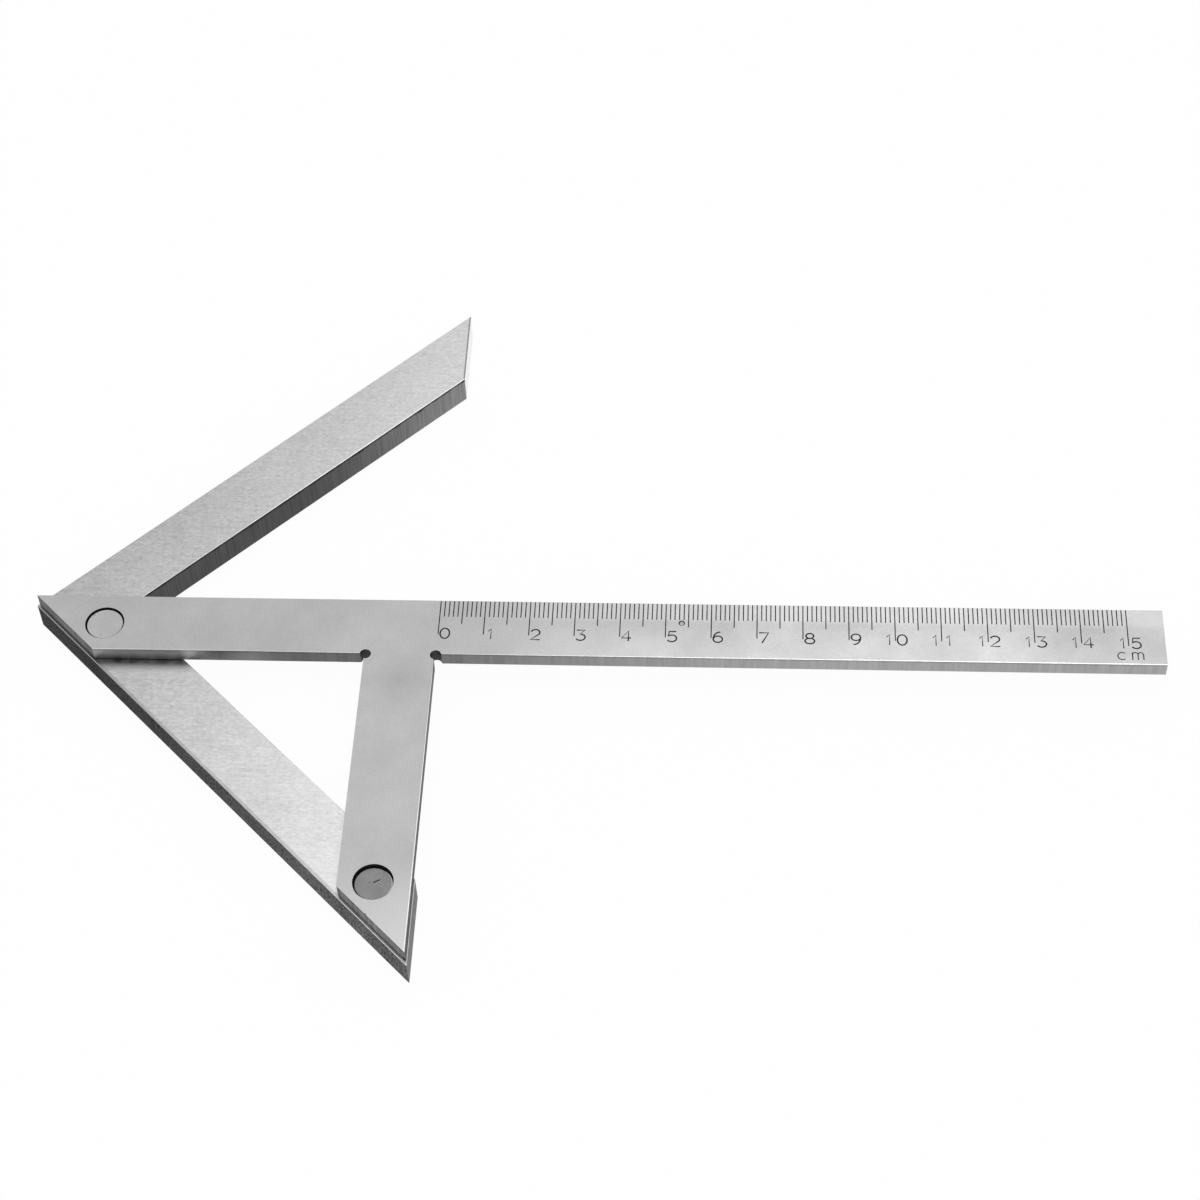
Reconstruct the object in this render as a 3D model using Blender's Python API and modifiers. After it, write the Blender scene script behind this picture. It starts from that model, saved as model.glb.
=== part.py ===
"""Centre square: a V frame that seats on round stock, with a graduated plate riveted on top.

The plate is one piece, a ruler with a strut at right angles to it. The ruler's far edge lies on
the line that halves the V, so a scriber run along it passes over the centre of the stock.
Metres, +Z up. X runs along the ruler towards the end of its scale, and the strut reaches to -Y.
The origin is on the underside of the frame, midway between the outer and the inner corner.
"""

import math

import bmesh
import bpy
from mathutils import Matrix

# V frame: one plate with two straight arms
ARM_ANGLE = math.radians(45.0)  # each arm to the centre line
LEG_LENGTH = 0.1300  # outer edge of an arm, corner to tip
ARM_WIDTH = 0.0148
FRAME_THICKNESS = 0.0070
FRAME_EDGE_BREAK = 0.00020

# Plate: ruler and strut in one piece
RULER_WIDTH = 0.0149
STRUT_WIDTH = 0.0155
PLATE_THICKNESS = 0.0035
PLATE_EDGE_BREAK = 0.00012
SEAT_GAP = 0.0002  # between the frame and the plate that lies on it
END_INSET = 0.0005  # the plate's slanting ends stand back from the arm's outer face by this
STRUT_SETBACK = 0.0002  # the strut's face stands back from the mouth of the V by this
STRUT_CORNER_RADIUS = 0.0010

# Relief holes in the two inner corners between ruler and strut
RELIEF_RADIUS = 0.00125
RELIEF_SHIFT = 0.0003  # from the corner, along the ruler
RELIEF_DROP = 0.0003  # from the corner, down the strut

# Scale, engraved from the ruler's far edge
SCALE_LENGTH = 0.150
SCALE_DIVISION = 0.001
SCALE_START = 0.0002  # from the mouth of the V to the zero line
SCALE_TAIL = 0.0079  # plain end past the last line
LONG_EVERY = 10  # lines
MIDDLE_EVERY = 5
LONG_LINE = 0.0094
MIDDLE_LINE = 0.0065
SHORT_LINE = 0.0045
LINE_DEPTH = 0.00009  # a right-angled groove, so twice as wide at the surface

# Rivets: countersunk at both ends, a little below the surfaces
HEAD_RADIUS = 0.00415
HEAD_RIM = 0.0010
SHANK_RADIUS = 0.0027
TAIL_RADIUS = 0.0040
TAIL_RIM = 0.0004
TAIL_RECESS = 0.0001
RIVET_CLEARANCE = 0.0003
APEX_RIVET_INSET = 0.0070  # rivet's axis to the arm's outer face
APEX_RIVET_RECESS = 0.0001
STRUT_RIVET_INSET = 0.0068
STRUT_RIVET_RECESS = 0.00065

# Marks in the top of the plate
DIMPLE_RADIUS = 0.00062
DIMPLE_DEPTH = 0.00030
DIMPLE_DISTANCE = 0.0536  # from the zero line
DIMPLE_FROM_EDGE = 0.0054  # from the far edge
NICK_RADIUS = 0.0006
NICK_DEPTH = 0.0003
NICK_FROM_STRUT_FACE = 0.0067  # across the strut, from its short side
NICK_TURN = math.radians(13)

# Fineness of round shapes
ROUND_STEPS = 40
FILLET_STEPS = 5
BOWL_STEPS = 4
SHARP_ANGLE = math.radians(30)
CUTTER_OVERRUN = 0.0010  # how far a cutter stands out past the face it cuts
WELD_DISTANCE = 0.000001

# Worked out from the sizes above
half_mitre = ARM_WIDTH / (2 * math.sin(ARM_ANGLE))
mouth_x = LEG_LENGTH * math.cos(ARM_ANGLE) - half_mitre
strut_right = mouth_x - STRUT_SETBACK
strut_left = strut_right - STRUT_WIDTH
zero_x = mouth_x + SCALE_START
ruler_end = zero_x + SCALE_LENGTH + SCALE_TAIL
plate_bottom = FRAME_THICKNESS + SEAT_GAP
plate_top = plate_bottom + PLATE_THICKNESS


def lower_arm_x(y, inset):
    """Where the lower arm's outer face, moved into the arm by inset, crosses the line at y."""
    return inset / math.sin(ARM_ANGLE) - half_mitre - y / math.tan(ARM_ANGLE)


def lower_arm_y(x, inset):
    """The same face at x."""
    return (inset / math.sin(ARM_ANGLE) - half_mitre - x) * math.tan(ARM_ANGLE)


def clear_scene():
    for item in list(bpy.data.objects):
        bpy.data.objects.remove(item, do_unlink=True)


def new_collection(name):
    collection = bpy.data.collections.new(name)
    bpy.context.scene.collection.children.link(collection)
    return collection


def steel(name, colour, roughness):
    material = bpy.data.materials.new(name)
    material.use_nodes = True
    shader = material.node_tree.nodes["Principled BSDF"]
    shader.inputs["Base Color"].default_value = (*colour, 1.0)
    shader.inputs["Metallic"].default_value = 1.0
    shader.inputs["Roughness"].default_value = roughness
    return material


def place(name, mesh, collection, location=(0, 0, 0), material=None):
    item = bpy.data.objects.new(name, mesh)
    item.location = location
    if material:
        mesh.materials.append(material)
    collection.objects.link(item)
    return item


def place_cutter(name, mesh, location):
    item = place(name, mesh, cutters, location)
    item.hide_render = True
    item.display_type = "WIRE"
    return item


def rounded(corners, radii):
    """Corner points, with an arc in place of each corner that has a radius."""
    points = []
    for index, (x, y) in enumerate(corners):
        radius = radii.get(index, 0)
        if not radius:
            points.append((x, y))
            continue
        before, after = corners[index - 1], corners[(index + 1) % len(corners)]
        enter = math.atan2(before[1] - y, before[0] - x)
        leave = math.atan2(after[1] - y, after[0] - x)
        turn = (leave - enter + math.pi) % (2 * math.pi) - math.pi
        reach = radius / math.sin(abs(turn) / 2)
        centre = (x + reach * math.cos(enter + turn / 2), y + reach * math.sin(enter + turn / 2))
        start = enter - math.copysign(math.pi / 2, turn)
        sweep = math.copysign(math.pi - abs(turn), turn)
        for step in range(FILLET_STEPS + 1):
            angle = start - sweep * step / FILLET_STEPS
            points.append((centre[0] + radius * math.cos(angle), centre[1] + radius * math.sin(angle)))
    return points


def flat_plate(points, thickness):
    """A flat outline, extruded upwards from z = 0."""
    curve = bpy.data.curves.new("outline", "CURVE")
    curve.dimensions = "2D"
    curve.fill_mode = "BOTH"
    curve.extrude = thickness / 2
    spline = curve.splines.new("POLY")
    spline.points.add(len(points) - 1)
    for point, (x, y) in zip(spline.points, points):
        point.co = (x, y, 0, 1)
    spline.use_cyclic_u = True
    drawn = bpy.data.objects.new("outline", curve)
    bpy.context.scene.collection.objects.link(drawn)
    graph = bpy.context.evaluated_depsgraph_get()
    mesh = bpy.data.meshes.new_from_object(drawn.evaluated_get(graph))
    bpy.data.objects.remove(drawn, do_unlink=True)
    bpy.data.curves.remove(curve)
    shape = bmesh.new()
    shape.from_mesh(mesh)
    bmesh.ops.remove_doubles(shape, verts=shape.verts, dist=WELD_DISTANCE)
    bmesh.ops.recalc_face_normals(shape, faces=shape.faces)
    for side in (1, -1):
        flat = [face for face in shape.faces if all(vert.co.z * side > 0 for vert in face.verts)]
        bmesh.ops.dissolve_faces(shape, faces=flat)
    bmesh.ops.translate(shape, verts=shape.verts, vec=(0, 0, thickness / 2))
    rim = shape.edges.layers.float.new("bevel_weight_edge")
    for edge in shape.edges:
        level = abs(edge.verts[0].co.z - edge.verts[1].co.z) < thickness / 2
        edge[rim] = 1.0 if level else 0.0
    shape.to_mesh(mesh)
    shape.free()
    return mesh


def turned(name, profile):
    """A solid of revolution about Z: the profile runs down its outer side from the axis to the axis."""
    line = bpy.data.meshes.new(name + "_profile")
    line.from_pydata([(x, 0, z) for x, z in profile], [(i, i + 1) for i in range(len(profile) - 1)], [])
    drawn = bpy.data.objects.new(name + "_profile", line)
    bpy.context.scene.collection.objects.link(drawn)
    screw = drawn.modifiers.new("turn", "SCREW")
    screw.steps = ROUND_STEPS
    screw.render_steps = ROUND_STEPS
    screw.use_merge_vertices = True
    screw.merge_threshold = WELD_DISTANCE
    graph = bpy.context.evaluated_depsgraph_get()
    mesh = bpy.data.meshes.new_from_object(drawn.evaluated_get(graph))
    mesh.shade_smooth()
    mesh.set_sharp_from_angle(angle=SHARP_ANGLE)
    bpy.data.objects.remove(drawn, do_unlink=True)
    bpy.data.meshes.remove(line)
    return mesh


def break_edges(item, width):
    """Takes the sharpness off the outline's top and bottom edges."""
    bevel = item.modifiers.new("edge_break", "BEVEL")
    bevel.width = width
    bevel.segments = 1
    bevel.limit_method = "WEIGHT"


def cut(item, cutter):
    boolean = item.modifiers.new("cut_" + cutter.name, "BOOLEAN")
    boolean.operation = "DIFFERENCE"
    boolean.solver = "EXACT"
    boolean.object = cutter


def rivet_profile(head, top, bottom, clearance=0.0):
    """Half section of a rivet whose head's face is at head, or of its hole, from top to bottom."""
    head_radius = HEAD_RADIUS + clearance
    shank_radius = SHANK_RADIUS + clearance
    tail_radius = TAIL_RADIUS + clearance
    under_head = head - HEAD_RIM - (HEAD_RADIUS - SHANK_RADIUS)
    over_tail = TAIL_RECESS + TAIL_RIM + (TAIL_RADIUS - SHANK_RADIUS)
    return [
        (0, top),
        (head_radius, top),
        (head_radius, head - HEAD_RIM),
        (shank_radius, under_head),
        (shank_radius, over_tail),
        (tail_radius, TAIL_RECESS + TAIL_RIM),
        (tail_radius, bottom),
        (0, bottom),
    ]


def rivet(name, x, y, recess):
    """The rivet, and the cutter for its hole through plate and frame."""
    head = plate_top - recess
    place(name, turned(name, rivet_profile(head, head, TAIL_RECESS)), parts, (x, y, 0), rivet_steel)
    hole = rivet_profile(head, plate_top + CUTTER_OVERRUN, -CUTTER_OVERRUN, RIVET_CLEARANCE)
    return place_cutter(name + "_hole", turned(name + "_hole", hole), (x, y, 0))


def frame_outline():
    tip_y = (mouth_x + half_mitre) * math.tan(ARM_ANGLE)
    inner_y = (mouth_x - half_mitre) * math.tan(ARM_ANGLE)
    return [
        (-half_mitre, 0),
        (mouth_x, -tip_y),
        (mouth_x, -inner_y),
        (half_mitre, 0),
        (mouth_x, inner_y),
        (mouth_x, tip_y),
    ]


def plate_outline():
    corners = [
        (lower_arm_x(0, END_INSET), 0),
        (lower_arm_x(-RULER_WIDTH, END_INSET), -RULER_WIDTH),
        (strut_left, -RULER_WIDTH),
        (strut_left, lower_arm_y(strut_left, END_INSET)),
        (strut_right, lower_arm_y(strut_right, END_INSET)),
        (strut_right, -RULER_WIDTH),
        (ruler_end, -RULER_WIDTH),
        (ruler_end, 0),
    ]
    return rounded(corners, {3: STRUT_CORNER_RADIUS})


def relief_cutter(name, corner_x):
    shape = bmesh.new()
    bmesh.ops.create_cone(
        shape,
        cap_ends=True,
        segments=ROUND_STEPS,
        radius1=RELIEF_RADIUS,
        radius2=RELIEF_RADIUS,
        depth=PLATE_THICKNESS + 2 * CUTTER_OVERRUN,
    )
    mesh = bpy.data.meshes.new(name)
    shape.to_mesh(mesh)
    shape.free()
    middle = (plate_bottom + plate_top) / 2
    return place_cutter(name, mesh, (corner_x + RELIEF_SHIFT, -RULER_WIDTH - RELIEF_DROP, middle))


def line_length(index):
    if index % LONG_EVERY == 0:
        return LONG_LINE
    return MIDDLE_LINE if index % MIDDLE_EVERY == 0 else SHORT_LINE


def scale_cutter():
    """One square bar for each line, turned onto its edge so that it cuts a V."""
    side = LINE_DEPTH * math.sqrt(2)
    turn = Matrix.Rotation(math.radians(45), 4, "Y")
    shape = bmesh.new()
    for index in range(round(SCALE_LENGTH / SCALE_DIVISION) + 1):
        length = line_length(index) + CUTTER_OVERRUN
        bar = Matrix.Translation((index * SCALE_DIVISION, CUTTER_OVERRUN - length / 2, 0))
        bmesh.ops.create_cube(shape, size=1.0, matrix=bar @ turn @ Matrix.Diagonal((side, length, side, 1)))
    mesh = bpy.data.meshes.new("scale_lines")
    shape.to_mesh(mesh)
    shape.free()
    return place_cutter("scale_lines", mesh, (zero_x, 0, plate_top))


def dimple_cutter():
    """A small round bowl."""
    profile = [(0, CUTTER_OVERRUN), (DIMPLE_RADIUS, CUTTER_OVERRUN)]
    for step in range(BOWL_STEPS):
        angle = math.pi / 2 * step / BOWL_STEPS
        profile.append((DIMPLE_RADIUS * math.cos(angle), -DIMPLE_DEPTH * math.sin(angle)))
    profile.append((0, -DIMPLE_DEPTH))
    place_of_dimple = (zero_x + DIMPLE_DISTANCE, -DIMPLE_FROM_EDGE, plate_top)
    return place_cutter("dimple", turned("dimple", profile), place_of_dimple)


def nick_cutter():
    """A dent in the top edge of the strut's slanting end, made by a ball turned off the plate's axes."""
    x = strut_left + NICK_FROM_STRUT_FACE
    turn = Matrix.Rotation(NICK_TURN, 4, "X") @ Matrix.Rotation(NICK_TURN, 4, "Z")
    shape = bmesh.new()
    bmesh.ops.create_uvsphere(shape, u_segments=16, v_segments=8, radius=NICK_RADIUS, matrix=turn)
    mesh = bpy.data.meshes.new("nick")
    shape.to_mesh(mesh)
    shape.free()
    return place_cutter("nick", mesh, (x, lower_arm_y(x, END_INSET), plate_top + NICK_RADIUS - NICK_DEPTH))


clear_scene()
parts = new_collection("center_square")
cutters = new_collection("cutters")

ground_steel = steel("ground_steel", (0.62, 0.62, 0.61), 0.38)
rivet_steel = steel("rivet_steel", (0.50, 0.50, 0.49), 0.42)

apex_y = -RULER_WIDTH / 2
apex_x = lower_arm_x(apex_y, APEX_RIVET_INSET)
strut_x = (strut_left + strut_right) / 2
strut_y = lower_arm_y(strut_x, STRUT_RIVET_INSET)
apex_hole = rivet("rivet_apex", apex_x, apex_y, APEX_RIVET_RECESS)
strut_hole = rivet("rivet_strut", strut_x, strut_y, STRUT_RIVET_RECESS)

frame = place("v_frame", flat_plate(frame_outline(), FRAME_THICKNESS), parts, material=ground_steel)
break_edges(frame, FRAME_EDGE_BREAK)
for hole in (apex_hole, strut_hole):
    cut(frame, hole)

plate_mesh = flat_plate(plate_outline(), PLATE_THICKNESS)
plate = place("ruler_plate", plate_mesh, parts, (0, 0, plate_bottom), ground_steel)
break_edges(plate, PLATE_EDGE_BREAK)
for cutter in (
    apex_hole,
    strut_hole,
    relief_cutter("relief_left", strut_left),
    relief_cutter("relief_right", strut_right),
    scale_cutter(),
    dimple_cutter(),
    nick_cutter(),
):
    cut(plate, cutter)
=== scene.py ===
# Centre square: the looks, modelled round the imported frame. Metres, +Z up, X along the ruler.
import math

import bmesh
import bpy
from mathutils import Matrix, Vector


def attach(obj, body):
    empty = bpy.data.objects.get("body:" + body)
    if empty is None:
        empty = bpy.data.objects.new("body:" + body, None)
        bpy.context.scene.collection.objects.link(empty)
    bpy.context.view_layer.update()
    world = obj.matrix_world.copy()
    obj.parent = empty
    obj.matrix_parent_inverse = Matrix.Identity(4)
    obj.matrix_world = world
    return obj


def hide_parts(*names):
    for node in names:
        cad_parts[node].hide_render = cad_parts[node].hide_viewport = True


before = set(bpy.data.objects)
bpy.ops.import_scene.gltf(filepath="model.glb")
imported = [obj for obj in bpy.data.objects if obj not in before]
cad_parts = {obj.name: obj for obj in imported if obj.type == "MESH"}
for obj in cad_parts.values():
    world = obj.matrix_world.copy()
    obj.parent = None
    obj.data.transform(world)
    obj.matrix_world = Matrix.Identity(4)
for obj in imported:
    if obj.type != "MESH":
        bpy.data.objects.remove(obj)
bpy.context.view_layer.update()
print("frame loaded:", ", ".join(sorted(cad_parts)))


# Selecting, shaping and finishing, as at the keyboard

pastFace = 0.001  # how far a cutter stands out past the face that it cuts
closeTo = 1e-5  # what lies this near a place counts as being there
weldReach = 1.2e-6
smoothBelow = math.radians(12)


def alone(piece):
    if bpy.context.mode != "OBJECT":
        bpy.ops.object.mode_set(mode="OBJECT")
    bpy.ops.object.select_all(action="DESELECT")
    piece.select_set(True)
    bpy.context.view_layer.objects.active = piece


def edit(piece, kind="FACE", selection="SELECT"):
    alone(piece)
    bpy.ops.object.mode_set(mode="EDIT")
    bpy.ops.mesh.select_mode(type=kind)
    bpy.ops.mesh.select_all(action=selection)


def pick(piece, kind, test):
    # opens the piece in edit mode with the faces or edges selected that pass the test
    edit(piece, kind, "DESELECT")
    shape = bmesh.from_edit_mesh(piece.data)
    shape.normal_update()
    parts = {"EDGE": shape.edges, "FACE": shape.faces}[kind]
    for chosen in [part for part in parts if test(part)]:
        chosen.select_set(True)
    bmesh.update_edit_mesh(piece.data)


def leave():
    bpy.ops.object.mode_set(mode="OBJECT")


def settled(name):
    # the new primitive, named, with its place and turn in its mesh
    piece = bpy.context.object
    piece.name = name
    bpy.ops.object.transform_apply(location=True, rotation=True, scale=True)
    return piece


def block(name, middle, size, turn=(0, 0, 0)):
    bpy.ops.object.select_all(action="DESELECT")
    bpy.ops.mesh.primitive_cube_add(size=1, location=middle, rotation=turn, scale=size)
    return settled(name)


def cutOff(piece, point, normal, fill=True, away=True):
    # bisects the whole piece: away takes off the normal's side, and without it the cut only adds a line
    edit(piece)
    bpy.ops.mesh.bisect(plane_co=point, plane_no=normal, use_fill=fill, clear_outer=away, threshold=1e-7)
    leave()


def mergeFlats(piece):
    # takes out the lines that lie in flat faces
    edit(piece)
    bpy.ops.mesh.dissolve_limited(angle_limit=math.radians(0.2))
    leave()


def weld(piece):
    # merges the points that lie a micrometre or less apart
    edit(piece)
    bpy.ops.mesh.remove_doubles(threshold=weldReach)
    leave()


def inOrder(piece):
    # an extrusion leaves its parts in another order on each run, and later bevels and cuts go by that order;
    # this puts the points and faces in the order of their places
    mesh = piece.data
    spots = [tuple(vert.co) for vert in mesh.vertices]
    order = sorted(range(len(spots)), key=lambda number: spots[number])
    rank = {number: place for place, number in enumerate(order)}
    faces = []
    for face in mesh.polygons:
        corners = [rank[number] for number in face.vertices]
        first = corners.index(min(corners))
        faces.append(corners[first:] + corners[:first])
    mesh.clear_geometry()
    mesh.from_pydata([spots[number] for number in order], [], sorted(faces))


def stack(name, centre, rings, sides=64):
    # a round solid, built ring by ring from the bottom: extrude, then scale to the next radius
    bpy.ops.object.select_all(action="DESELECT")
    x, y = centre
    radius, height = rings[0]
    bpy.ops.mesh.primitive_circle_add(
        vertices=sides, radius=radius, fill_type="NGON", location=(x, y, height))
    piece = settled(name)
    edit(piece)
    for nextRadius, nextHeight in rings[1:]:
        bpy.ops.mesh.extrude_region_move(TRANSFORM_OT_translate={"value": (0, 0, nextHeight - height)})
        if nextRadius != radius:
            grow = nextRadius / radius
            bpy.ops.transform.resize(value=(grow, grow, 1), center_override=(x, y, nextHeight))
        radius, height = nextRadius, nextHeight
    bpy.ops.mesh.select_all(action="SELECT")
    bpy.ops.mesh.normals_make_consistent(inside=False)
    leave()
    inOrder(piece)
    return piece


def copyAt(piece, offset):
    twin = piece.copy()
    twin.data = piece.data.copy()
    twin.data.transform(Matrix.Translation(offset))
    bpy.context.scene.collection.objects.link(twin)
    return twin


def joinAll(name, members):
    alone(members[0])
    for member in members:
        member.select_set(True)
    bpy.ops.object.join()
    members[0].name = name
    return members[0]


def carve(piece, cutter, finish=None, crossing=False):
    # boolean difference; the cut faces take the cutter's finish; crossing is for a cutter that crosses itself
    if finish:
        cutter.data.materials.clear()
        cutter.data.materials.append(finish)
    cut = piece.modifiers.new("carve", "BOOLEAN")
    cut.operation = "DIFFERENCE"
    cut.solver = "EXACT"
    cut.material_mode = "TRANSFER"
    cut.use_self = crossing
    cut.object = cutter
    alone(piece)
    bpy.ops.object.modifier_apply(modifier=cut.name)
    bpy.data.objects.remove(cutter, do_unlink=True)


def breakEdges(piece, width, steps, test, clamp=True):
    # clamp keeps a bevel within its neighbours, which a very short edge beside it narrows to nothing
    pick(piece, "EDGE", test)
    bpy.ops.mesh.bevel(offset=width, segments=steps, profile=0.5, affect="EDGES", clamp_overlap=clamp)
    leave()


def turnOf(edge):
    return edge.calc_face_angle(0.0) if len(edge.link_faces) == 2 else 0.0


def middleOf(face):
    return face.calc_center_median()


def isSide(face):
    return abs(face.normal.z) < 0.05


def isBroken(face):
    # on a broken edge, above or below
    return 0.05 <= abs(face.normal.z) < 0.98


def isBrokenTop(face):
    return isBroken(face) and face.normal.z > 0


def paint(piece, finish, test):
    # gives the faces that pass the test a material slot of their own
    if finish.name not in [slot.name for slot in piece.material_slots]:
        piece.data.materials.append(finish)
    pick(piece, "FACE", test)
    piece.active_material_index = [slot.name for slot in piece.material_slots].index(finish.name)
    bpy.ops.object.material_slot_assign()
    leave()


def finishPiece(piece, node):
    alone(piece)
    bpy.ops.object.shade_smooth_by_angle(angle=smoothBelow)
    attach(piece, "root")
    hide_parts(node)


# Shader maths written as Python expressions

class Wire:
    # a node's output, and the tree that it is in
    def __init__(self, nodes, socket):
        self.nodes, self.socket = nodes, socket

    def maths(self, operation, other=None, swap=False):
        terms = [self] if other is None else ([other, self] if swap else [self, other])
        return self.nodes.node("ShaderNodeMath", {"operation": operation}, dict(enumerate(terms)))

    def __add__(self, other): return self.maths("ADD", other)
    def __radd__(self, other): return self.maths("ADD", other, True)
    def __sub__(self, other): return self.maths("SUBTRACT", other)
    def __rsub__(self, other): return self.maths("SUBTRACT", other, True)
    def __mul__(self, other): return self.maths("MULTIPLY", other)
    def __rmul__(self, other): return self.maths("MULTIPLY", other, True)


class Nodes:
    # the node tree of a material or of the world
    def __init__(self, tree):
        self.tree = tree

    def node(self, kind, settings=None, inputs=None, out=0):
        # links the inputs that are wires and sets the others; gives the output of that name or number
        made = self.tree.nodes.new(kind)
        for name, value in (settings or {}).items():
            setattr(made, name, value)
        for name, value in (inputs or {}).items():
            if isinstance(value, Wire):
                self.tree.links.new(value.socket, made.inputs[name])
            else:
                made.inputs[name].default_value = value
        return Wire(self, made.outputs[out])


class Finish(Nodes):
    # a Principled material on Object coordinates
    def __init__(self, name, metallic=1.0, roughness=0.4):
        self.material = bpy.data.materials.new(name)
        self.material.use_nodes = True
        super().__init__(self.material.node_tree)
        self.shader = self.tree.nodes["Principled BSDF"]
        self.shader.inputs["Metallic"].default_value = metallic
        self.shader.inputs["Roughness"].default_value = roughness
        self.place = self.node("ShaderNodeTexCoord", out="Object")

    def noise(self, scale, detail=2.0, rough=0.5, shift=(0, 0, 0)):
        # scale: features per metre along x, y, z
        spot = self.node("ShaderNodeMapping", {"vector_type": "POINT"},
                         {"Vector": self.place, "Scale": scale, "Location": shift})
        return self.node("ShaderNodeTexNoise", {"noise_dimensions": "3D"},
                         {"Vector": spot, "Scale": 1.0, "Detail": detail, "Roughness": rough})

    def axis(self, letter):
        return self.node("ShaderNodeSeparateXYZ", {}, {"Vector": self.place}, letter)

    def spot(self, centre, turn=0.0):
        # place measured from a spot of the top, along a turned line and across it
        near = self.node("ShaderNodeMapping", {"vector_type": "TEXTURE"}, {
            "Vector": self.place, "Location": (centre[0], centre[1], 0), "Rotation": (0, 0, turn)})
        return [self.node("ShaderNodeSeparateXYZ", {}, {"Vector": near}, letter) for letter in "XY"]

    def blot(self, centre, radius):
        # 1 at the middle of a round spot, 0 from its rim on
        along, across = self.spot(centre)
        return self.spread((along * along + across * across).maths("SQRT"), 0.0, radius, 1.0, 0.0)

    def streak(self, start, end, width):
        # 1 inside a thin stroke between two points, 0 outside it
        run = math.dist(start, end)
        along, across = self.spot(start, math.atan2(end[1] - start[1], end[0] - start[0]))
        middle = self.spread((along - run / 2).maths("ABSOLUTE"), run / 2 - width, run / 2, 1.0, 0.0)
        return middle * self.spread(across.maths("ABSOLUTE"), width / 4, width / 2, 1.0, 0.0)

    def spread(self, value, low, high, toLow=0.0, toHigh=1.0):
        return self.node("ShaderNodeMapRange", {"clamp": True}, {
            "Value": value, "From Min": low, "From Max": high, "To Min": toLow, "To Max": toHigh})

    def tone(self, dark, light, share):
        return self.node("ShaderNodeMix", {"data_type": "RGBA"}, {"Factor": share, 6: dark, 7: light}, out=2)

    def wear(self, colour, roughness, height=None, depth=None, strength=None):
        # links what varies over the surface; the bump follows height
        self.tree.links.new(colour.socket, self.shader.inputs["Base Color"])
        self.tree.links.new(roughness.socket, self.shader.inputs["Roughness"])
        if height is not None:
            bump = self.node("ShaderNodeBump", {}, {
                "Height": height, "Distance": depth, "Strength": strength}, "Normal")
            self.tree.links.new(bump.socket, self.shader.inputs["Normal"])
        return self.material


def grey(level):
    return (level, level, level, 1.0)


# Sizes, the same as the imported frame's

vee = {"armWidth": 0.0148, "legLength": 0.1300, "thickness": 0.0070, "edgeBreak": 0.00013, "edgeSteps": 2,
       "barBehind": 0.02, "barPast": 0.03}  # an uncut arm, behind the corner and past the tip
armAngle = math.radians(45)
halfMitre = vee["armWidth"] / (2 * math.sin(armAngle))
mouthX = vee["legLength"] * math.cos(armAngle) - halfMitre

plate = {
    "rulerWidth": 0.0149, "strutWidth": 0.0155, "thickness": 0.0035, "cornerRadius": 0.0010,
    "seatGap": 0.0002, "endInset": 0.0005, "strutSetback": 0.0002, "tail": 0.0079,
    "barStart": -0.02, "strutReach": 0.09,  # before the slanting cut takes both ends off
    "edgeBreak": 0.00015, "strutRightBreak": 0.00021, "rulerBreak": 0.00015, "edgeSteps": 2,
    "reliefRadius": 0.00125, "reliefShift": 0.0003, "reliefDrop": 0.0003}
scale = {"start": 0.0002, "length": 0.150, "division": 0.001, "halfWidth": 0.00012,
         "last": 0.0099, "long": 0.0094, "middle": 0.0065, "short": 0.0045}  # lengths of the lines
strutRight = mouthX - plate["strutSetback"]
strutLeft = strutRight - plate["strutWidth"]
strutMiddle = (strutLeft + strutRight) / 2
zeroX = mouthX + scale["start"]
rulerEnd = zeroX + scale["length"] + plate["tail"]
plateLow = vee["thickness"] + plate["seatGap"]
plateHigh = plateLow + plate["thickness"]
slant = Vector((-math.sin(armAngle), -math.cos(armAngle), 0))  # outward, across the lower arm


def slantPoint(inset):
    # on the centre line, on the lower arm's outer face moved into the arm by the inset
    return Vector((-halfMitre, 0, 0)) - slant * inset


def slantY(x, inset):
    # where the same face is at x
    point = slantPoint(inset)
    return point.y - (x - point.x)


rivets = {"headRim": 0.0010, "shankRadius": 0.0027,
          "tailRadius": 0.0040, "tailRim": 0.0004, "tailRecess": 0.0001}
# hole: its middle beside the place that the sizes give; shift: the head's middle beside the hole's
apexFit = {"head": 0.00406, "gap": 0.00033, "inset": 0.0070, "recess": 0.0001, "chamfer": 0.00010,
           "hole": (-0.00004, -0.00018), "shift": (0.00009, -0.00025)}
strutFit = {"head": 0.00406, "gap": 0.00026, "inset": 0.0068, "recess": 0.00065, "chamfer": 0.00024,
            "hole": (-0.00022, 0.00006), "shift": (0.00001, -0.00014)}
apexY = -plate["rulerWidth"] / 2
apexX = slantPoint(apexFit["inset"]).x - apexY + slantPoint(apexFit["inset"]).y
apexSpot = (apexX + apexFit["hole"][0], apexY + apexFit["hole"][1])
strutSpot = (strutMiddle + strutFit["hole"][0], slantY(strutMiddle, strutFit["inset"]) + strutFit["hole"][1])


def rivetHole(name, spot, fit):
    # the rivet's form, wider by the gap
    radii = (fit["head"], rivets["shankRadius"], rivets["tailRadius"])
    head, shank, tail = [radius + fit["gap"] for radius in radii]
    rim = plateHigh - fit["recess"] - rivets["headRim"]
    flare = fit["head"] - rivets["shankRadius"]
    tailRim = rivets["tailRecess"] + rivets["tailRim"]
    return stack(name, spot, [
        (tail, -pastFace), (tail, tailRim), (shank, tailRim + rivets["tailRadius"] - rivets["shankRadius"]),
        (shank, rim - flare), (head, rim), (head, plateHigh + pastFace)])


# Steel finishes: a share is how much of a mark's own tone covers the steel

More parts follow.
